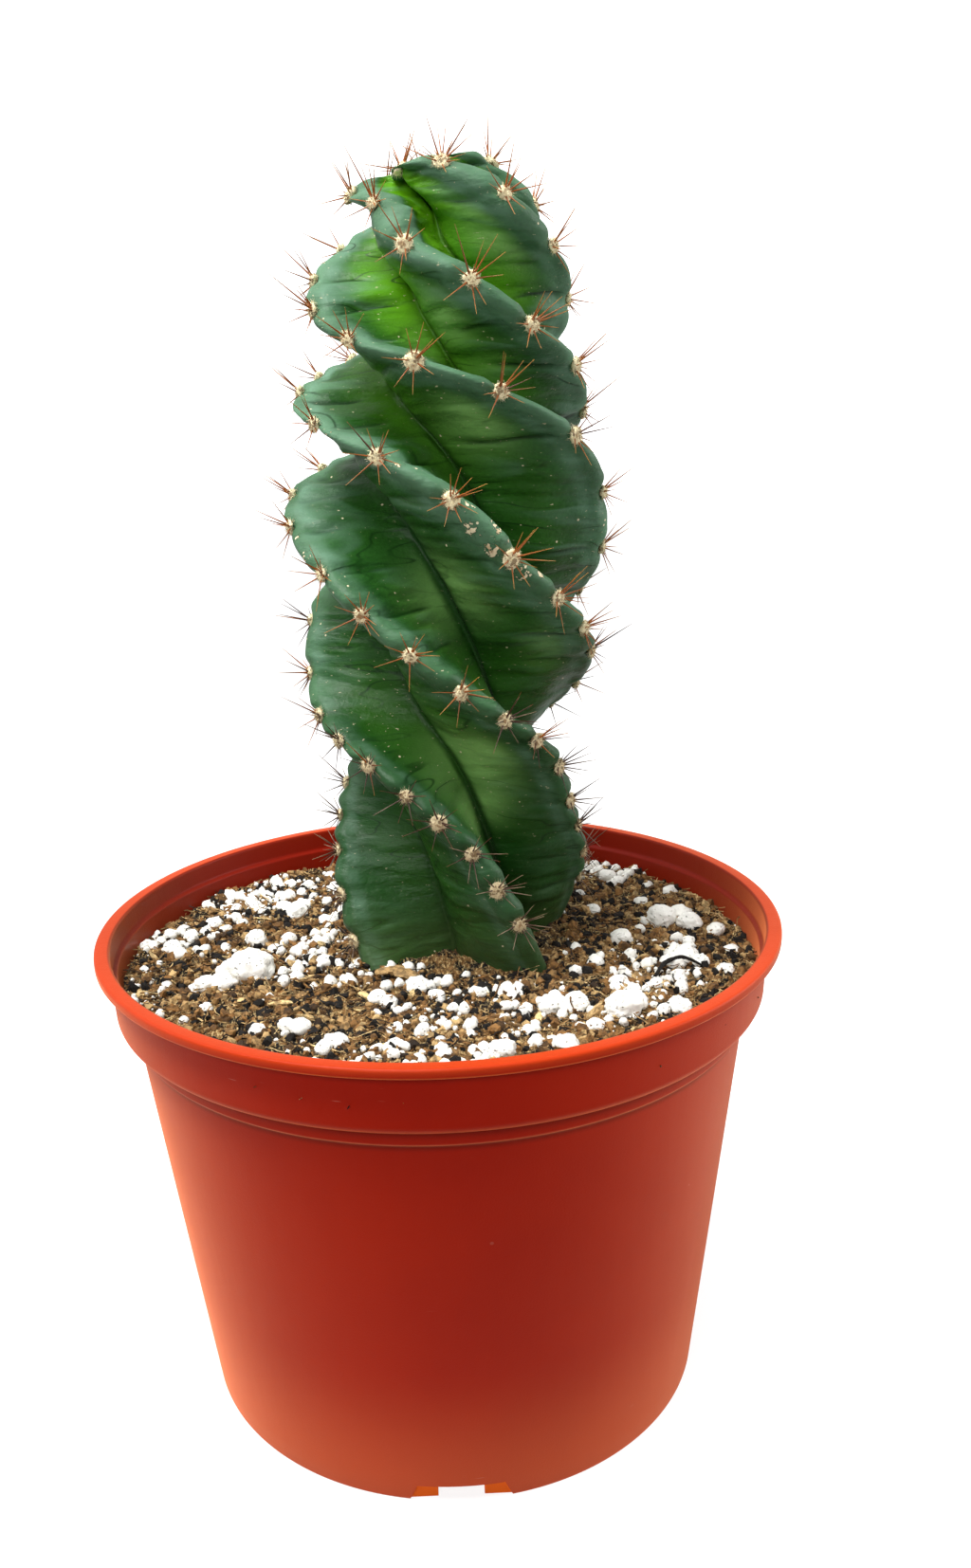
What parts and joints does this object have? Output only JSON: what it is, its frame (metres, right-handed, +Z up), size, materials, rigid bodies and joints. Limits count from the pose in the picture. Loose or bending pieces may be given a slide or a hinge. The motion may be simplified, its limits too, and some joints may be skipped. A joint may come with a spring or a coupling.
{
  "type": "potted spiral cactus",
  "caption": "Upright ribbed cactus with a strong spiral twist and spined woolly areoles, standing in peat and perlite in a round nursery pot with a stepped rim.",
  "frame": {"origin": "centre of the pot's foot, on the surface it stands on", "axes": "+Z up the pot's axis and the stem; -Y towards the side shown in the picture; +X to its right"},
  "size_m": [0.16, 0.16, 0.2855],
  "materials": {
    "pot_plastic": "terracotta-coloured injection-moulded plastic with a soft satin sheen and fine scuffs",
    "potting_mix": "damp brown peat and shredded bark with fine white perlite grains",
    "cactus_skin": "waxy blue-green skin, paler and bluish on the ribs' crests, yellow-green near the furrows, with cream areoles and amber to dark brown spines",
    "perlite": "matt white expanded perlite with fine pores"
  },
  "bodies": {
    "root": {"pot": "pot_plastic", "soil": "potting_mix", "cactus": "cactus_skin", "perlite_01": "perlite", "perlite_02": "perlite", "perlite_03": "perlite", "perlite_04": "perlite", "perlite_05": "perlite", "perlite_06": "perlite", "perlite_07": "perlite", "perlite_08": "perlite", "perlite_09": "perlite", "perlite_10": "perlite", "perlite_11": "perlite", "perlite_12": "perlite", "perlite_13": "perlite", "perlite_14": "perlite", "perlite_15": "perlite", "perlite_16": "perlite"}
  },
  "joints": []
}
